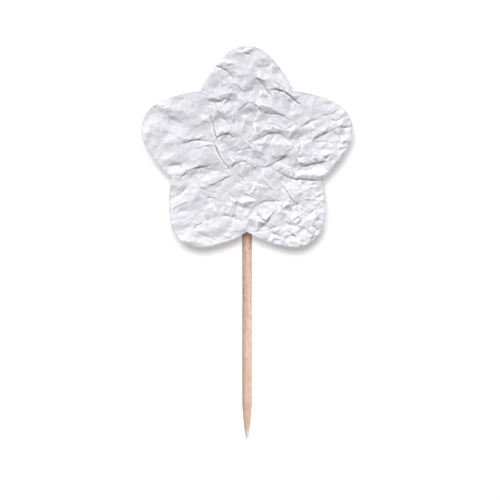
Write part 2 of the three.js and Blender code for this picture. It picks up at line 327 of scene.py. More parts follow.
# The creases that the photograph shows most clearly, in its pixels: depth, below 0 for a ridge, and course
CREASES = [
    (0.22, [(210, 115), (212, 122), (214, 129), (216, 136), (217, 141)]),
    (0.26, [(213, 140), (216, 146), (219, 153), (222, 159), (225.5, 163), (229, 167.5), (232, 171)]),
    (0.14, [(180, 144), (187, 142), (193, 140.5), (200, 140), (207, 141), (213, 142), (217, 142)]),
    (0.12, [(191, 150), (199, 148), (206, 146), (214, 145)]),
    (0.15, [(175, 177), (182, 176), (186, 173), (192, 169), (200, 167), (207, 166), (213, 164)]),
    (0.08, [(199, 168), (206, 168), (213, 170), (220, 171)]),
    (0.14, [(207, 186), (214, 184), (220, 181), (226, 178), (232, 175)]),
    (0.12, [(248, 141), (256, 140), (262, 137), (268, 134), (275, 133), (281, 134), (286, 138), (294, 146)]),
    (0.10, [(215, 139), (222, 135), (228, 134), (236, 137)]),
    (0.15, [(225, 169), (229, 168), (233, 166), (237, 163), (242, 161), (247, 162), (252, 167)]),
    (0.10, [(250, 159), (255, 163), (259, 166), (264, 167), (270, 165), (276, 162), (283, 157)]),
    (0.09, [(282, 157), (286, 156), (290, 158), (294, 162)]),
    (0.15, [(270, 167), (277, 171), (283, 174), (289, 177), (294, 179), (301, 179), (309, 180), (321, 181)]),
    (0.16, [(296, 171), (304, 167), (311, 164), (318, 163), (328, 161)]),
    (0.27, [(256, 77), (260, 81), (264, 86), (268, 91), (273, 97)]),
    (0.28, [(271, 89), (279, 90), (284, 92), (290, 96), (296, 101), (303, 106)]),
    (0.17, [(215, 66), (222, 68), (227, 71), (231, 75), (236, 80)]),
    (0.09, [(203, 98), (211, 101), (217, 102), (222, 101), (227, 98), (236, 101)]),
    (0.10, [(237, 110), (243, 107), (248, 103), (252, 101)]),
    (0.11, [(251, 101), (255, 104), (259, 109), (264, 115)]),
    (0.09, [(259, 106), (262, 109), (266, 113), (269, 118)]),
    (0.10, [(265, 112), (271, 114), (277, 114), (283, 116), (290, 120)]),
    (0.11, [(215, 110), (221, 115), (226, 120), (230, 124), (234, 129)]),
    (0.09, [(312, 140), (320, 136), (327, 133), (335, 128)]),
    (0.08, [(333, 130), (338, 135), (343, 139)]),
    (0.13, [(278, 180), (282, 184), (286, 190), (290, 196), (295, 204)]),
    (0.11, [(256, 211), (261, 217), (266, 223), (270, 228)]),
    (0.10, [(247, 230), (257, 231), (264, 230), (271, 228), (280, 226)]),
    (0.07, [(255, 207), (261, 203), (268, 201), (276, 200), (284, 201)]),
    (0.14, [(300, 127), (306, 124), (311, 121), (319, 119)]),
    (0.11, [(167, 166), (175, 165), (180, 165), (185, 169)]),
    (0.11, [(233, 83), (239, 87), (243, 92), (247, 97)]),
    (0.10, [(174, 207), (182, 204), (189, 201)]),
    (0.10, [(282, 209), (287, 215), (291, 220)]),
    (0.12, [(197, 231), (205, 235), (211, 237), (219, 241)]),
    (0.12, [(243, 53), (249, 54), (254, 56)]),
    (0.08, [(261, 59), (267, 62), (272, 60)]),
    (0.08, [(263, 67), (268, 66), (272, 63)]),
    (0.08, [(271, 81), (278, 84), (286, 88)]),
    (0.07, [(249, 91), (253, 89), (258, 90)]),
    (0.07, [(229, 86), (233, 89), (236, 93)]),
    (0.08, [(267, 123), (273, 124), (279, 126), (285, 129)]),
    (0.09, [(284, 130), (290, 127), (296, 124), (301, 125)]),
    (0.11, [(320, 115), (327, 115), (333, 113), (339, 109)]),
    (0.11, [(327, 117), (333, 120), (338, 120), (343, 117)]),
    (0.13, [(342, 128), (347, 127), (352, 126)]),
    (0.07, [(313, 140), (320, 142), (327, 142), (335, 141)]),
    (0.11, [(336, 145), (342, 143), (348, 142)]),
    (0.11, [(339, 150), (344, 148), (349, 147)]),
    (0.07, [(296, 157), (304, 156), (311, 158)]),
    (0.10, [(238, 174), (243, 178), (248, 182)]),
    (0.08, [(230, 184), (237, 182), (244, 184)]),
    (0.10, [(188, 185), (184, 190), (179, 194), (174, 197)]),
    (0.07, [(199, 187), (206, 190), (213, 192), (221, 190)]),
    (0.13, [(205, 198), (211, 197), (218, 199)]),
    (0.10, [(229, 192), (234, 197), (238, 202), (244, 208)]),
    (0.11, [(243, 193), (250, 196), (258, 200)]),
    (0.08, [(187, 213), (190, 218), (195, 221)]),
    (0.07, [(195, 230), (198, 225), (203, 222)]),
    (0.07, [(264, 181), (270, 187), (277, 192)]),
    (0.07, [(301, 187), (309, 188), (318, 187)]),
    (0.07, [(302, 200), (310, 200), (320, 200)]),
    (0.07, [(301, 205), (304, 210), (309, 212), (315, 209), (319, 203)]),
    (0.13, [(296, 217), (301, 218), (306, 220)]),
    (0.14, [(285, 221), (291, 224), (297, 226)]),
    (0.12, [(287, 229), (292, 233), (297, 238)]),
    (0.11, [(270, 231), (276, 234), (282, 236)]),
    (0.07, [(283, 238), (289, 236), (296, 236)]),
    (0.12, [(303, 226), (308, 230), (313, 235)]),
    (0.12, [(311, 225), (317, 229), (323, 232)]),
    (0.09, [(221, 216), (226, 215), (231, 217)]),
    (0.06, [(235, 152), (243, 149), (252, 148)]),
    (0.05, [(154, 131), (162, 132), (170, 131)]),
    (0.06, [(170, 118), (177, 121), (184, 124)]),
    (0.12, [(290, 206), (294, 205), (299, 203)]),
    (0.08, [(290, 171), (294, 173), (298, 176)]),
    (0.07, [(199, 213), (202, 211), (205, 210)]),
    (0.08, [(193, 229), (196, 226), (199, 224)]),
    (-0.07, [(263, 177), (268, 182), (273, 187), (277, 191)]),
    (-0.05, [(243, 137), (238, 141), (233, 147)]),
    (-0.05, [(243, 137), (248, 143), (252, 151)]),
    (-0.03, [(243, 137), (237, 131), (232, 128)]),
    (-0.07, [(171, 208), (178, 205), (185, 202), (189, 200)]),
    (-0.06, [(199, 224), (205, 222), (212, 221)]),
    (-0.06, [(199, 224), (194, 221), (188, 217)]),
]


# The larger facets that the photograph shows, in its pixels: middle, half length, half width, turn in
# degrees, and how steeply the facet faces up (above 0, bright) or down (below 0, dark)
FACETS = [
    (166, 104, 7, 3, -18, 0.25), (152, 124, 9, 7, 0, 0.12), (180, 134, 8, 6, 0, 0.20),
    (175, 125, 12, 3, -25, 0.12), (197, 120, 8, 3, 25, 0.15), (203, 113, 3, 4, 0, 0.15),
    (234, 106, 6, 5, -10, 0.28), (222, 108, 8, 3, -20, 0.15), (229, 80, 7, 4, -20, 0.25),
    (218, 92, 10, 3, 5, 0.22), (249, 96, 5, 6, 0, 0.15), (266, 74, 9, 3, -10, 0.30),
    (262, 56, 5, 3, -20, 0.20), (246, 49, 4, 2, 0, 0.15), (268, 103, 9, 3, -25, 0.28),
    (280, 108, 10, 3, -20, 0.20), (255, 130, 10, 5, 10, 0.22), (272, 140, 13, 4, 3, 0.35),
    (245, 137, 5, 3, 0, 0.15), (221, 146, 5, 4, -40, 0.30), (229, 155, 6, 5, -30, 0.30),
    (245, 158, 8, 2.5, 0, 0.15), (165, 155, 7, 4, 20, 0.22), (177, 170, 6, 4, -10, 0.30),
    (193, 165, 12, 3, 20, 0.28), (212, 178, 9, 4, 0, 0.32), (288, 167, 10, 2.5, -15, 0.20),
    (310, 173, 13, 4, 3, 0.40), (325, 151, 7, 6, 0, 0.22), (337, 152, 5, 5, 30, 0.15),
    (330, 140, 8, 4, 0, 0.20), (345, 137, 5, 4, 20, 0.30), (327, 107, 7, 4, 0, 0.20),
    (315, 116, 5, 3, 0, 0.20), (297, 145, 8, 3, 35, 0.12), (315, 131, 12, 2.5, 30, 0.18),
    (304, 118, 5, 2.5, 0, 0.15), (296, 187, 12, 5, 0, 0.15), (313, 192, 6, 6, 0, 0.12),
    (262, 206, 12, 3, 10, 0.15), (250, 213, 8, 4, 0, 0.15), (268, 218, 8, 5, -20, 0.12),
    (265, 233, 8, 3, -15, 0.22), (230, 222, 10, 7, 0, 0.12), (187, 235, 7, 6, 20, 0.20),
    (200, 240, 8, 3, 0, 0.28), (183, 214, 7, 4, 0, 0.15), (180, 183, 5, 3, 0, 0.15),
    (198, 188, 6, 4, 0, 0.15), (248, 66, 4, 4, 0, 0.15), (284, 75, 4, 5, 0, 0.15),
    (291, 111, 7, 3, 0, 0.18), (172, 116, 12, 6, -15, -0.18), (197, 105, 7, 3, 0, -0.12),
    (178, 98, 8, 3, 10, -0.10), (155, 138, 7, 4, 0, -0.15), (164, 132, 5, 3, 0, -0.15),
    (170, 142, 8, 2, -10, -0.12), (222, 118, 9, 3, -35, -0.25), (226, 136, 8, 3, 0, -0.40),
    (230, 98, 9, 3.5, 5, -0.25), (212, 101, 8, 3, 0, -0.20), (238, 88, 6, 3.5, -50, -0.25),
    (247, 109, 9, 4, 0, -0.55), (259, 114, 8, 5, 0, -0.35), (252, 103, 3, 3, 0, -0.30),
    (243, 151, 6, 3, 10, -0.25), (248, 54, 5, 3, 0, -0.25), (266, 62, 5, 5, 0, -0.20),
    (259, 81, 5, 4, -45, -0.35), (266, 89, 8, 3.5, -50, -0.35), (287, 96, 14, 3, -35, -0.35),
    (281, 157, 6, 4, 20, -0.30), (265, 165, 8, 3, -5, -0.25), (250, 170, 4, 5, 0, -0.20),
    (272, 175, 6, 4, 0, -0.12), (311, 165, 9, 3, 10, -0.35), (323, 159, 5, 4, 0, -0.30),
    (308, 179, 14, 3, 0, -0.30), (250, 195, 8, 3.5, -25, -0.25), (236, 198, 8, 4, -50, -0.20),
    (270, 199, 10, 3, 5, -0.20), (295, 203, 3, 3, 0, -0.25), (178, 208, 8, 3, 15, -0.20),
    (180, 190, 7, 4, 35, -0.20), (216, 183, 7, 3, 20, -0.30), (300, 133, 10, 4, 0, -0.12),
    (310, 127, 8, 4, 20, -0.15), (323, 132, 9, 2.5, 25, -0.30), (293, 222, 6, 3, -15, -0.20),
    (277, 233, 5, 3, 0, -0.25), (207, 171, 10, 4, 0, -0.20), (205, 148, 9, 2.5, 10, -0.20),
    (170, 163, 8, 3, 0, -0.15), (190, 142, 9, 2.5, 8, -0.25), (222, 163, 4, 7, -60, -0.15),
]


def add_facet(heights, turned, column, row, long, wide, turn, steepness):
    """Tilts one patch of the sheet up or down."""
    middle = rotated(in_photo([(column, row)]), turned)[0]
    turn = math.radians(turn) + turned
    x, y = grid_x - middle[0], grid_y - middle[1]
    along, across = x * math.cos(turn) + y * math.sin(turn), y * math.cos(turn) - x * math.sin(turn)
    spread = (along / (long * PIXEL)) ** 2 + (across / (wide * PIXEL)) ** 2
    heights -= FACET_STRENGTH * steepness * across * np.exp(-0.5 * spread)


def add_folds(heights, rng, count, size, steepness):
    """Adds short straight folds, ridges and valleys, in every direction."""
    for _ in range(count):
        middle_x, middle_y = rng.uniform(-FOLDS_REACH, FOLDS_REACH, 2)
        turn = rng.uniform(0, math.pi)
        half = size * rng.uniform(0.6, 1.8)
        wide = half * rng.uniform(0.2, 0.45)
        slope = steepness * rng.uniform(0.4, 1.6) * rng.choice((-1, 1))
        rows, columns = (slice(*np.searchsorted(grid_line, (middle - 2.5 * half, middle + 2.5 * half)))
                         for middle in (middle_y, middle_x))
        x, y = grid_x[rows, columns] - middle_x, grid_y[rows, columns] - middle_y
        along, across = x * math.cos(turn) + y * math.sin(turn), y * math.cos(turn) - x * math.sin(turn)
        fade = np.exp(-(along / half) ** 2 - (across / wide) ** 2)
        heights[rows, columns] += slope * np.abs(across) * fade


def crumple(folds, seed, turned):
    """Height of the crumpled sheet's outer face: the main folds, then finer and finer crumpling."""
    rng = np.random.default_rng(seed)
    wander = np.random.default_rng(seed + 1)
    small = np.random.default_rng(seed + 2)
    across, up = rotated(np.stack([grid_x, grid_y], axis=-1), -turned).T
    fine, crinkled = fine_share(across, up).T, crinkle_share(across, up).T
    heights = blurred(folds, MAIN_FOLD_BLUR)
    for facet in FACETS:
        add_facet(heights, turned, *facet)
    courses = [rotated(in_photo(course), turned) for _, course in CREASES]
    for (depth, _), course in zip(CREASES, courses):
        add_crease(heights, wander, course, WIDE_SHARE * depth, WIDE_WIDTH)
    in_facets = blurred(faceted(heights, rng, courses, *LAYER_ON_FOLDS), LAYER_BLUR)
    heights = (1 - FACETED_SHARE) * heights + FACETED_SHARE * in_facets
    flat = np.zeros(heights.shape)
    layers = (
        (LARGE_LAYER, rng, 1),
        (MIDDLE_LAYER, rng, fine),
        (SMALL_LAYER, rng, fine),
        (CRINKLE_LAYER, small, crinkled),
    )
    for layer, draws, share in layers:
        heights += share * blurred(faceted(flat, draws, courses, *layer), LAYER_BLUR)
    folded = np.zeros(heights.shape)
    add_folds(folded, rng, *SHORT_FOLDS)
    heights += blurred(folded, CREASE_BLUR)
    heights -= LEVELLED * blurred(heights, LEVEL_BLUR)
    sharp = np.zeros(heights.shape)
    for (depth, _), course in zip(CREASES, courses):
        add_crease(sharp, wander, course - (0, SHARP_DROP), SHARP_SHARE * depth, SHARP_WIDTH)
    return heights + blurred(sharp, CREASE_BLUR)


def main_folds(node):
    """Height of the CAD paper's outer face over its card, and how far that card's face is from the middle."""
    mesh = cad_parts[node].data
    points = np.array([v.co for v in mesh.vertices]) / MM
    apart = np.abs(points[:, 1])
    card_face = apart.min()
    corners = [Vector((x, z - centre[1], h - card_face)) for (x, _, z), h in zip(points, apart)]
    tree = BVHTree.FromPolygons(corners, [tuple(p.vertices) for p in mesh.polygons])
    found = seen_from_above(tree)
    return np.nan_to_num(found, nan=np.nanmean(found)), card_face


# Pieces

def finish_piece(name, mesh, nodes, material, sharp=50):
    mesh.materials.append(material)
    for polygon in mesh.polygons:
        polygon.use_smooth = True
    mesh.set_sharp_from_angle(angle=math.radians(sharp))
    piece = bpy.data.objects.new(name, mesh)
    bpy.context.scene.collection.objects.link(piece)
    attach(piece, "root")
    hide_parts(*nodes)
    return piece


def mesh_from(bm, name):
    mesh = bpy.data.meshes.new(name)
    bm.to_mesh(mesh)
    bm.free()
    return mesh


def sheet_mesh(spacing):
    """Points on the outline and on a lattice inside it, in mm from the star's centre, and their triangles."""
    line = np.arange(-LATTICE_REACH, LATTICE_REACH, spacing)
    x, y = np.meshgrid(line, line * math.sqrt(3) / 2)
    x = x + (np.arange(len(line)) % 2)[:, None] * spacing / 2
    x, y = x.ravel(), y.ravel()
    inside = np.hypot(x, y) < outline_reach(np.arctan2(y, x)) - 0.7 * min(spacing, 0.2)
    points = np.vstack([outline, np.stack([x[inside], y[inside]], axis=1)])
    rim = [(i, (i + 1) % len(outline)) for i in range(len(outline))]
    made, _, faces, *_ = geometry.delaunay_2d_cdt([Vector(p) for p in points], rim, [], 1, 1e-5)
    return np.array([point[:] for point in made]), faces


def lowest_near(field, reach):
    """The lowest value within a square of twice that reach round each grid point."""
    steps = range(-int(reach / GRID), int(reach / GRID) + 1)
    for axis in (0, 1):
        field = np.min([np.roll(field, step, axis) for step in steps], axis=0)
    return field


def paper_sheet(name, node, seed, side, lobes_on, material):
    """A thin sheet of crumpled paper on a card, with its folds turned by some lobes.

    side is -1 for the front and 1 for the back.
    """
    folds, card_face = main_folds(node)
    heights = crumple(folds, seed, lobes_on * 2 * math.pi / len(LOBES))
    from_centre = np.hypot(grid_x, grid_y)
    heights += MEAN_HEIGHT - heights[from_centre < MEAN_OVER].mean()
    from_rim = outline_reach(np.arctan2(grid_y, grid_x)) - from_centre
    heights *= RIM_HEIGHT + RIM_RISE * np.clip(from_rim / RIM_WIDTH, 0, 1)
    heights = np.maximum(heights, SHEET_THICKNESS + LIFT_OFF_CARD)
    # The fold measure sets painted shade in the folds and a painted highlight on the ridges, and the cut edge
    # gets a grey line of painted shade
    fold = (blurred(heights, FOLD_BLUR) - heights) / FOLD_UNIT
    fold = fold + EDGE_PAINTED_SHADE * np.exp(-(from_rim / EDGE_SHADE_WIDTH) ** 2)
    under = np.maximum(lowest_near(heights, UNDERSIDE_REACH) - SHEET_THICKNESS, LIFT_OFF_CARD)
    bm = bmesh.new()
    layer = bm.verts.layers.float.new("fold")
    rims = []
    for spacing, field, flip in ((SHEET_SPACING, heights, side > 0), (UNDERSIDE_SPACING, under, side < 0)):
        points, faces = sheet_mesh(spacing)
        x, y = points.T
        levels = on_grid(field, x, y)
        if field is under:
            levels[:len(outline)] = on_grid(heights, x, y)[:len(outline)] - SHEET_THICKNESS
        corners = [bm.verts.new((a * MM, side * (card_face + h) * MM, (b + centre[1]) * MM))
                   for a, b, h in zip(x, y, levels)]
        if field is heights:
            for corner, value in zip(corners, on_grid(fold, x, y)):
                corner[layer] = value
        for a, b, c in faces:
            bm.faces.new([corners[i] for i in ((a, c, b) if flip else (a, b, c))])
        rims.append(corners[:len(outline)])
    for a, b in zip(zip(*rims), list(zip(*rims))[1:] + [(rims[0][0], rims[1][0])]):
        bm.faces.new((a[0], a[1], b[1], b[0]) if side < 0 else (a[0], b[0], b[1], a[1]))
    return finish_piece(name, mesh_from(bm, name), [node], material)


def card_star(name, node, material):
    low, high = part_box(node)
    bm = bmesh.new()
    face = bm.faces.new([bm.verts.new((a * MM, low.y, (b + centre[1]) * MM)) for a, b in outline])
    made = bmesh.ops.extrude_face_region(bm, geom=[face])
    moved = [v for v in made["geom"] if isinstance(v, bmesh.types.BMVert)]
    bmesh.ops.translate(bm, vec=(0, high.y - low.y, 0), verts=moved)
    rims = [e for e in bm.edges if any(len(f.verts) > 4 for f in e.link_faces)]
    bmesh.ops.bevel(
        bm, geom=rims, offset=CARD_BEVEL * MM, affect="EDGES", segments=2, profile=0.5, material=-1)
    bmesh.ops.recalc_face_normals(bm, faces=bm.faces[:])
    bmesh.ops.triangulate(bm, faces=[f for f in bm.faces if len(f.verts) > 4])
    return finish_piece(name, mesh_from(bm, name), [node], material, sharp=35)


def stick(material):
    """The round stick with its two points, a little out of round, with shallow grain in its surface."""
    _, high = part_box("stick")
    length = high.z
    full = high.x
    corners = np.array([v.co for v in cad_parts["stick"].data.vertices])
    reach = np.hypot(corners[:, 0], corners[:, 1])
    flat = reach[(corners[:, 2] < 1e-6) & (reach > 1e-6)].max()
    point = corners[(reach > full * 0.98) & (corners[:, 2] < length / 2), 2].min()
    lower = [point * (i / POINT_RINGS) ** 1.6 for i in range(POINT_RINGS + 1)]
    shaft = np.arange(point, length - point, STICK_RING * MM)[1:]
    rings = lower + list(shaft) + [length - z for z in reversed(lower)]
    bm = bmesh.new()
    bmesh.ops.create_circle(bm, segments=STICK_SIDES, radius=full, cap_ends=False)
    edges = bm.edges[:]
    for _ in rings[1:]:
        made = bmesh.ops.extrude_edge_only(bm, edges=edges)["geom"]
        edges = [e for e in made if isinstance(e, bmesh.types.BMEdge)]
        edges = [e for e in edges if all(v in made for v in e.verts)]
    bm.verts.ensure_lookup_table()
    for index, vert in enumerate(bm.verts):
        z = rings[index // STICK_SIDES]
        end = min(z, length - z)
        radius = flat + (full - flat) * min(1, end / point) ** POINT_FULLNESS
        around = Vector((vert.co.x, vert.co.y, 0)).normalized()
        where = around * 1.4 + Vector((0, 0, z / MM * 0.02))
        oval = noise.noise(where * 0.9) * 0.015
        grain = noise.noise(Vector((around.x * 9, around.y * 9, z / MM * 0.12))) * 0.006
        fibre = noise.noise(Vector((around.x * 30, around.y * 30, z / MM * 0.3))) * 0.004
        rough = 1 if end > 0.3 * MM else 0.3
        uneven = 1 - STICK_SMALLER + rough * (oval + grain + fibre)
        vert.co = around * radius * uneven + Vector((0, 0, z))
    bmesh.ops.holes_fill(bm, edges=[e for e in bm.edges if e.is_boundary], sides=0)
    bmesh.ops.recalc_face_normals(bm, faces=bm.faces[:])
    return finish_piece("wooden_stick", mesh_from(bm, "wooden_stick"), ["stick"], material)


def front_to_back(edge):
    return abs(edge.verts[0].co.y - edge.verts[1].co.y)


def foam_pad(name, node, turn, material):
    """A square foam pad, drawn in a little between its two tacky faces."""
    low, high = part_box("foam_pad_top")
    width, thickness = high.x - low.x, high.y - low.y
    bm = bmesh.new()
    bmesh.ops.create_cube(bm, size=1)
    bmesh.ops.scale(bm, vec=(width, thickness, width), verts=bm.verts[:])
    upright = [e for e in bm.edges if front_to_back(e) > thickness / 2]
    bmesh.ops.bevel(
        bm, geom=upright, offset=PAD_CORNER * MM, affect="EDGES", segments=6, profile=0.5, material=-1)
    through = [e for e in bm.edges if front_to_back(e) > thickness / 2]
    bmesh.ops.subdivide_edges(bm, edges=through, cuts=11, use_grid_fill=True)
    sides = [e for e in bm.edges if front_to_back(e) < 1e-6 and e.calc_length() > width / 2]
    bmesh.ops.subdivide_edges(bm, edges=sides, cuts=28, use_grid_fill=True)
    for vert in bm.verts:
        across = 2 * vert.co.y / thickness
        waist = 1 - PAD_WAIST * max(0, 1 - across ** 4)
        cells = noise.noise(vert.co / MM * 2.2) * PAD_CELLS * MM * (1 - abs(across) ** 6)
        away = Vector((vert.co.x, 0, vert.co.z)).normalized()
        edge = max(abs(vert.co.x), abs(vert.co.z)) > width * 0.45
        vert.co.x *= waist
        vert.co.z *= waist
        if edge:
            vert.co += away * (cells - PAD_INSET * MM)
    star_centre = Vector((0, 0, centre[1] * MM))
    seat = Matrix.Translation(Vector((0, (low.y + high.y) / 2, (low.z + high.z) / 2)))
    there, back = Matrix.Translation(star_centre), Matrix.Translation(-star_centre)
    round_star = there @ Matrix.Rotation(turn, 4, "Y") @ back
    bmesh.ops.transform(bm, matrix=round_star @ seat, verts=bm.verts[:])
    bmesh.ops.recalc_face_normals(bm, faces=bm.faces[:])
    return finish_piece(name, mesh_from(bm, name), [node], material)


def glue(material):
    """The mound of glue on the back card that closes over the stick's hidden end."""
    low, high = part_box("glue_bead")
    middle = (low + high) / 2
    size = high - low
    bm = bmesh.new()
    bmesh.ops.create_uvsphere(bm, u_segments=64, v_segments=40, radius=1)
    bmesh.ops.scale(bm, vec=(size.x / 2, size.y, size.z / 2), verts=bm.verts[:])
    bmesh.ops.translate(bm, vec=(0, high.y, middle.z), verts=bm.verts[:])
    geom = bm.verts[:] + bm.edges[:] + bm.faces[:]
    near = 0.001 * MM
    bmesh.ops.bisect_plane(
        bm, geom=geom, dist=near, plane_co=(0, high.y, 0), plane_no=(0, 1, 0), clear_outer=True)
    bmesh.ops.remove_doubles(bm, verts=bm.verts[:], dist=near)
    bmesh.ops.holes_fill(bm, edges=[e for e in bm.edges if e.is_boundary], sides=0)
    for vert in bm.verts:
        depth = (high.y - vert.co.y) / size.y
        if depth > 0.01:
            vert.co.y += noise.noise(vert.co / MM * 0.5) * 0.2 * MM * depth
            vert.co.x *= 1 + 0.05 * noise.noise(vert.co / MM * 0.35) - 0.03
    bmesh.ops.recalc_face_normals(bm, faces=bm.faces[:])
    return finish_piece("glue_mound", mesh_from(bm, "glue_mound"), ["glue_bead"], material)


# Materials

def new_material(name, colour, roughness):
    material = bpy.data.materials.new(name)
    material.use_nodes = True
    shader = material.node_tree.nodes["Principled BSDF"]
    shader.inputs["Base Color"].default_value = colour
    shader.inputs["Roughness"].default_value = roughness
    return material, material.node_tree, shader


def add_node(tree, kind, **inputs):
    """A node with the given input values; a name's underscores stand for spaces."""
    node = tree.nodes.new(kind)
    for key, value in inputs.items():
        node.inputs[key.replace("_", " ")].default_value = value
    return node


def link(tree, start, end):
    tree.links.new(start, end)


def mottle_group():
    """Uneven colour and a fine uneven surface, for anything with fibres or cells in it."""
    tree = bpy.data.node_groups.new("mottle", "ShaderNodeTree")
    takes = {"Vector": "NodeSocketVector", "Patch": "NodeSocketFloat", "Fibre": "NodeSocketFloat"}
    for name, kind in takes.items():
        tree.interface.new_socket(name=name, in_out="INPUT", socket_type=kind)
    for name in ("Mask", "Height"):
        tree.interface.new_socket(name=name, in_out="OUTPUT", socket_type="NodeSocketFloat")
    start = tree.nodes.new("NodeGroupInput")
    end = tree.nodes.new("NodeGroupOutput")
    patch = add_node(tree, "ShaderNodeTexNoise", Detail=3.0, Roughness=0.6)
    fibre = add_node(tree, "ShaderNodeTexNoise", Detail=4.0, Roughness=0.65, Distortion=1.2)
    for target, scale in ((patch, "Patch"), (fibre, "Fibre")):
        link(tree, start.outputs["Vector"], target.inputs["Vector"])
        link(tree, start.outputs[scale], target.inputs["Scale"])
    mixed = tree.nodes.new("ShaderNodeMath")
    mixed.operation = "MULTIPLY_ADD"
    mixed.inputs[1].default_value = 0.4
    link(tree, fibre.outputs["Fac"], mixed.inputs[0])
    link(tree, patch.outputs["Fac"], mixed.inputs[2])
    spread = add_node(tree, "ShaderNodeMapRange", From_Min=0.45, From_Max=0.95)
    link(tree, mixed.outputs["Value"], spread.inputs["Value"])
    link(tree, spread.outputs["Result"], end.inputs["Mask"])
    link(tree, fibre.outputs["Fac"], end.inputs["Height"])
    return tree


MOTTLE = mottle_group()


def place_mottle(tree, patch, fibre, vector=None):
    node = tree.nodes.new("ShaderNodeGroup")
    node.node_tree = MOTTLE
    node.inputs["Patch"].default_value = patch
    node.inputs["Fibre"].default_value = fibre
    if vector is None:
        vector = tree.nodes.new("ShaderNodeTexCoord").outputs["Object"]
    link(tree, vector, node.inputs["Vector"])
    return node


def mix_colours(tree, factor, first, second):
    """A colour between two, each a value or another node's output."""
    node = tree.nodes.new("ShaderNodeMix")
    node.data_type = "RGBA"
    link(tree, factor, node.inputs["Factor"])
    first_colour, second_colour, mixed_colour = 6, 7, 2
    for value, index in ((first, first_colour), (second, second_colour)):
        if isinstance(value, tuple):
            node.inputs[index].default_value = value
        else:
            link(tree, value, node.inputs[index])
    return node.outputs[mixed_colour]


def bump(tree, shader, height, distance, strength=1.0):
    node = add_node(tree, "ShaderNodeBump", Distance=distance, Strength=strength)
    link(tree, height, node.inputs["Height"])
    link(tree, node.outputs["Normal"], shader.inputs["Normal"])


def map_range(tree, value, low, high, to_low=0.0, to_high=1.0):
    node = add_node(tree, "ShaderNodeMapRange", From_Min=low, From_Max=high, To_Min=to_low, To_Max=to_high)
    link(tree, value, node.inputs["Value"])
    return node.outputs["Result"]


def paper_material():
    """White paper with a cool cast: mottled and fibrous, with painted light that makes it lighter out on the
    lobes.

    Painted shade makes it grey in sharp folds and along its cut edge, and a painted highlight makes it white
    along ridges.
    """
    material, tree, shader = new_material("crumpled_white_paper", srgb(236, 236, 241), 0.85)
    shader.inputs["Specular IOR Level"].default_value = 0.3
    mottle = place_mottle(tree, 260.0, 5200.0)
    body = mix_colours(tree, mottle.outputs["Mask"], srgb(220, 219, 225), srgb(211, 210, 216))
    away = tree.nodes.new("ShaderNodeVectorMath")
    away.operation = "DISTANCE"
    away.inputs[1].default_value = (0, 0, LIGHTER_HEIGHT * MM)
    link(tree, tree.nodes.new("ShaderNodeTexCoord").outputs["Object"], away.inputs[0])
    # Painted light: the colour is lighter out on the lobes and darker in the middle
    painted_lobe_light = map_range(tree, away.outputs["Value"], LIGHTER_FROM * MM, LIGHTER_TO * MM, 0.0, 0.8)
    body = mix_colours(tree, painted_lobe_light, body, srgb(234, 233, 239))
    fold = tree.nodes.new("ShaderNodeAttribute")
    fold.attribute_name = "fold"
    # Painted shade greys the paper in its folds and along its cut edge, and a painted highlight whitens it
    # along its ridges
    painted_valley_shade = map_range(tree, fold.outputs["Fac"], 0.25, 3.2, 0.0, 0.6)
    painted_ridge_highlight = map_range(tree, fold.outputs["Fac"], -0.1, -1.0, 0.0, 0.8)
    folded = mix_colours(tree, painted_valley_shade, body, srgb(132, 129, 138))
    folded = mix_colours(tree, painted_ridge_highlight, folded, srgb(252, 251, 253))
    link(tree, folded, shader.inputs["Base Color"])
    link(tree, map_range(tree, mottle.outputs["Mask"], 0, 1, 0.78, 0.92), shader.inputs["Roughness"])
    bump(tree, shader, mottle.outputs["Height"], 0.02 * MM)
    return material


def layered_card_material():
    """White card, with the thin layers of its cut edge."""
    material, tree, shader = new_material("white_card", srgb(233, 232, 228), 0.75)
    shader.inputs["Specular IOR Level"].default_value = 0.35
    where = tree.nodes.new("ShaderNodeTexCoord").outputs["Object"]
    layers = add_node(tree, "ShaderNodeMapping", Scale=(1, 16, 1))
    link(tree, where, layers.inputs["Vector"])
    mottle = place_mottle(tree, 700.0, 2600.0, layers.outputs["Vector"])
    body = mix_colours(tree, mottle.outputs["Mask"], srgb(236, 234, 236), srgb(222, 220, 222))
    link(tree, body, shader.inputs["Base Color"])
    bump(tree, shader, mottle.outputs["Height"], 0.03 * MM)
    return material


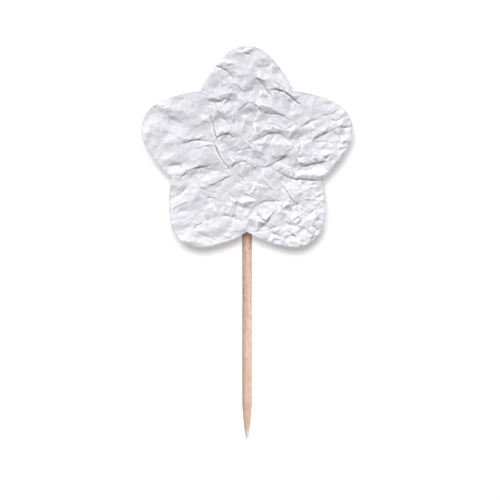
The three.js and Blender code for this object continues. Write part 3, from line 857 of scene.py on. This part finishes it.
def wood_material():
    """Pale wood: streaks, pores and flecks that run up the stick, darker higher up, and a bleached point."""
    material, tree, shader = new_material("pale_wood", srgb(226, 192, 170), 0.68)
    shader.inputs["Specular IOR Level"].default_value = 0.35
    where = tree.nodes.new("ShaderNodeTexCoord").outputs["Object"]

    def streaks(scale, squeeze, detail, distortion=0.0):
        mapping = add_node(tree, "ShaderNodeMapping", Scale=(1, 1, squeeze))
        link(tree, where, mapping.inputs["Vector"])
        found = add_node(tree, "ShaderNodeTexNoise", Scale=scale, Detail=detail, Distortion=distortion)
        link(tree, mapping.outputs["Vector"], found.inputs["Vector"])
        return found.outputs["Fac"]

    broad = map_range(tree, streaks(1300.0, 0.05, 3.0, 0.4), 0.35, 0.68)
    narrow = map_range(tree, streaks(4200.0, 0.035, 4.0), 0.35, 0.7)
    pores = map_range(tree, streaks(5200.0, 0.11, 2.0, 0.3), 0.6, 0.7)
    cloudy = map_range(tree, streaks(170.0, 0.6, 2.0), 0.4, 0.65)
    flecks = map_range(tree, streaks(1900.0, 0.5, 2.0, 0.6), 0.48, 0.7)
    body = mix_colours(tree, broad, srgb(234, 206, 185), srgb(218, 184, 164))
    body = mix_colours(tree, map_range(tree, narrow, 0, 1, 0, 0.65), body, srgb(204, 163, 144))
    body = mix_colours(tree, map_range(tree, cloudy, 0, 1, 0, 0.35), body, srgb(231, 203, 190))
    body = mix_colours(tree, map_range(tree, pores, 0, 1, 0, 0.55), body, srgb(172, 126, 106))
    apart = tree.nodes.new("ShaderNodeSeparateXYZ")
    link(tree, where, apart.inputs["Vector"])
    upper = map_range(tree, apart.outputs["Z"], 22 * MM, 34 * MM, 0.0, 0.4)
    body = mix_colours(tree, upper, body, srgb(212, 178, 158))
    spotted = tree.nodes.new("ShaderNodeMath")
    spotted.operation = "MULTIPLY"
    link(tree, flecks, spotted.inputs[0])
    link(tree, map_range(tree, apart.outputs["Z"], 18 * MM, 30 * MM, 0.35, 0.75), spotted.inputs[1])
    body = mix_colours(tree, spotted.outputs["Value"], body, srgb(180, 142, 124))
    tip = map_range(tree, apart.outputs["Z"], 2.2 * MM, 0.7 * MM, 0.0, 0.95)
    link(tree, mix_colours(tree, tip, body, srgb(228, 226, 224)), shader.inputs["Base Color"])
    link(tree, map_range(tree, narrow, 0, 1, 0.6, 0.8), shader.inputs["Roughness"])
    bump(tree, shader, narrow, 0.02 * MM)
    return material


def foam_material():
    """Soft white foam with small closed cells, with painted shade in their hollows."""
    material, tree, shader = new_material("white_foam", srgb(241, 240, 236), 0.9)
    shader.inputs["Specular IOR Level"].default_value = 0.25
    where = tree.nodes.new("ShaderNodeTexCoord").outputs["Object"]
    cells = add_node(tree, "ShaderNodeTexVoronoi", Scale=3300.0)
    link(tree, where, cells.inputs["Vector"])
    hollow = map_range(tree, cells.outputs["Distance"], 0.15, 0.6)
    mottle = place_mottle(tree, 600.0, 3000.0, where)
    body = mix_colours(tree, mottle.outputs["Mask"], srgb(241, 239, 241), srgb(232, 230, 232))
    # Painted shade: the foam is greyer in the hollows of its cells
    painted_cell_shade = map_range(tree, hollow, 1, 0, 0.0, 0.35)
    link(tree, mix_colours(tree, painted_cell_shade, body, srgb(213, 211, 213)), shader.inputs["Base Color"])
    bump(tree, shader, hollow, 0.06 * MM)
    return material


def glue_material():
    """Set hot-melt glue: milky, half clear and smooth."""
    material, tree, shader = new_material("hot_melt_glue", srgb(232, 224, 203), 0.32)
    shader.inputs["Subsurface Weight"].default_value = 0.5
    shader.inputs["Subsurface Radius"].default_value = (1.0, 0.9, 0.7)
    shader.inputs["Subsurface Scale"].default_value = 1.2 * MM
    mottle = place_mottle(tree, 320.0, 1500.0)
    body = mix_colours(tree, mottle.outputs["Mask"], srgb(238, 231, 212), srgb(222, 212, 186))
    link(tree, body, shader.inputs["Base Color"])
    link(tree, map_range(tree, mottle.outputs["Mask"], 0, 1, 0.25, 0.42), shader.inputs["Roughness"])
    bump(tree, shader, mottle.outputs["Height"], 0.03 * MM)
    return material


# Stage

def backdrop_material():
    """White paper that the pick lies on. Only the camera sees it, and it is clear from behind."""
    material, tree, shader = new_material("white_backdrop", (0.8, 0.8, 0.8, 1), 1.0)
    shader.inputs["Specular IOR Level"].default_value = 0.0
    shader.inputs["Emission Color"].default_value = (1, 1, 1, 1)
    shader.inputs["Emission Strength"].default_value = 0.13
    clear = tree.nodes.new("ShaderNodeBsdfTransparent")
    facing = tree.nodes.new("ShaderNodeNewGeometry").outputs["Backfacing"]
    either = tree.nodes.new("ShaderNodeMixShader")
    link(tree, facing, either.inputs["Fac"])
    link(tree, shader.outputs["BSDF"], either.inputs[1])
    link(tree, clear.outputs["BSDF"], either.inputs[2])
    link(tree, either.outputs["Shader"], tree.nodes["Material Output"].inputs["Surface"])
    return material


def backdrop(distance):
    bm = bmesh.new()
    bmesh.ops.create_grid(bm, x_segments=1, y_segments=1, size=BACKDROP_SIZE)
    bmesh.ops.rotate(bm, matrix=Matrix.Rotation(math.pi / 2, 3, "X"), verts=bm.verts[:])
    bmesh.ops.translate(bm, vec=(0, distance, BACKDROP_HEIGHT), verts=bm.verts[:])
    mesh = mesh_from(bm, "backdrop")
    mesh.materials.append(backdrop_material())
    sheet = bpy.data.objects.new("backdrop", mesh)
    bpy.context.scene.collection.objects.link(sheet)
    for rays in ("diffuse", "glossy", "transmission", "volume_scatter", "shadow"):
        setattr(sheet, f"visible_{rays}", False)
    return sheet


def sun(name, come_from, strength, softness):
    light = bpy.data.lights.new(name, "SUN")
    light.energy = strength
    light.angle = math.radians(softness)
    lamp = bpy.data.objects.new(name, light)
    lamp.rotation_mode = "QUATERNION"
    lamp.rotation_quaternion = (-come_from).to_track_quat("-Z", "Y")
    bpy.context.scene.collection.objects.link(lamp)
    return lamp


def linked(name, objects):
    """A collection that tells a light which objects it reaches, or which ones cast its shadow."""
    group = bpy.data.collections.new(name)
    for item in objects:
        group.objects.link(item)
    for member in group.collection_objects:
        member.light_linking.link_state = "INCLUDE"
    return group


def light_stage(sheet, star, wood, inside):
    """Lamps for each kind of piece, the same in front and behind, and one that throws the star's shadow."""
    round_about = Matrix.Rotation(math.pi, 3, "Z")
    behind = [(name, round_about @ come_from, *rest) for name, come_from, *rest in PAPER_LAMPS]
    groups = (
        ("front", PAPER_LAMPS, star[:1]),
        ("back", behind, star[1:2]),
        ("wood", STICK_LAMPS, [wood]),
        ("inside", INSIDE_LAMPS, inside),
    )
    for group, lamps, pieces in groups:
        lit = linked(f"{group}_pieces", pieces)
        for name, come_from, strength, softness in lamps:
            sun(f"{group}_{name}", come_from, strength, softness).light_linking.receiver_collection = lit
    second = sun("backdrop_light", SHADOW_FROM, SHADOW_STRENGTH, SHADOW_SOFTNESS)
    second.light_linking.receiver_collection = linked("the_backdrop", [sheet])
    second.light_linking.blocker_collection = linked("the_star", star)


def world_light():
    """An even fill, and plain white wherever the camera or a reflection looks past the pick."""
    world = bpy.data.worlds.new("studio")
    world.use_nodes = True
    tree = world.node_tree
    fill = tree.nodes["Background"]
    fill.inputs["Color"].default_value = (1, 1, 1, 1)
    fill.inputs["Strength"].default_value = FILL
    white = add_node(tree, "ShaderNodeBackground", Color=(1, 1, 1, 1), Strength=1.0)
    path = tree.nodes.new("ShaderNodeLightPath")
    seen = path.outputs["Is Camera Ray"]
    for other in ("Is Glossy Ray", "Is Transmission Ray"):
        either = tree.nodes.new("ShaderNodeMath")
        either.operation = "MAXIMUM"
        link(tree, seen, either.inputs[0])
        link(tree, path.outputs[other], either.inputs[1])
        seen = either.outputs["Value"]
    chosen = tree.nodes.new("ShaderNodeMixShader")
    link(tree, seen, chosen.inputs["Fac"])
    link(tree, fill.outputs["Background"], chosen.inputs[1])
    link(tree, white.outputs["Background"], chosen.inputs[2])
    link(tree, chosen.outputs["Shader"], tree.nodes["World Output"].inputs["Surface"])
    bpy.context.scene.world = world


def camera():
    data = bpy.data.cameras.new("camera")
    data.lens = LENS
    data.clip_end = 10
    width = PHOTO_SIZE * PIXEL * MM
    distance = width * data.lens / data.sensor_width
    eye = bpy.data.objects.new("camera", data)
    middle = PHOTO_SIZE / 2
    eye.location = ((middle - AXIS_COLUMN) * PIXEL * MM, -distance, (POINT_ROW - middle) * PIXEL * MM)
    eye.rotation_euler = (math.pi / 2, 0, 0)
    bpy.context.scene.collection.objects.link(eye)
    bpy.context.scene.camera = eye


camera()
paper = paper_material()
white_card = layered_card_material()
foam = foam_material()
star = [
    paper_sheet("front_paper", "front_facing", seed=5, side=-1, lobes_on=0, material=paper),
    paper_sheet("back_paper", "back_facing", seed=23, side=1, lobes_on=2, material=paper),
    card_star("front_star_card", "front_card", white_card),
    card_star("back_star_card", "back_card", white_card),
]
wood = stick(wood_material())
inside = star[2:] + [glue(glue_material())]
for lobe, place in enumerate(LOBES):
    inside.append(foam_pad(f"{place}_pad", f"foam_pad_{place}", lobe * 2 * math.pi / len(LOBES), foam))

backmost = max(corner[1] for corner in star[1].bound_box)
light_stage(backdrop(backmost + BACKDROP_GAP), star, wood, inside)
world_light()
bpy.context.scene.view_settings.view_transform = "Standard"
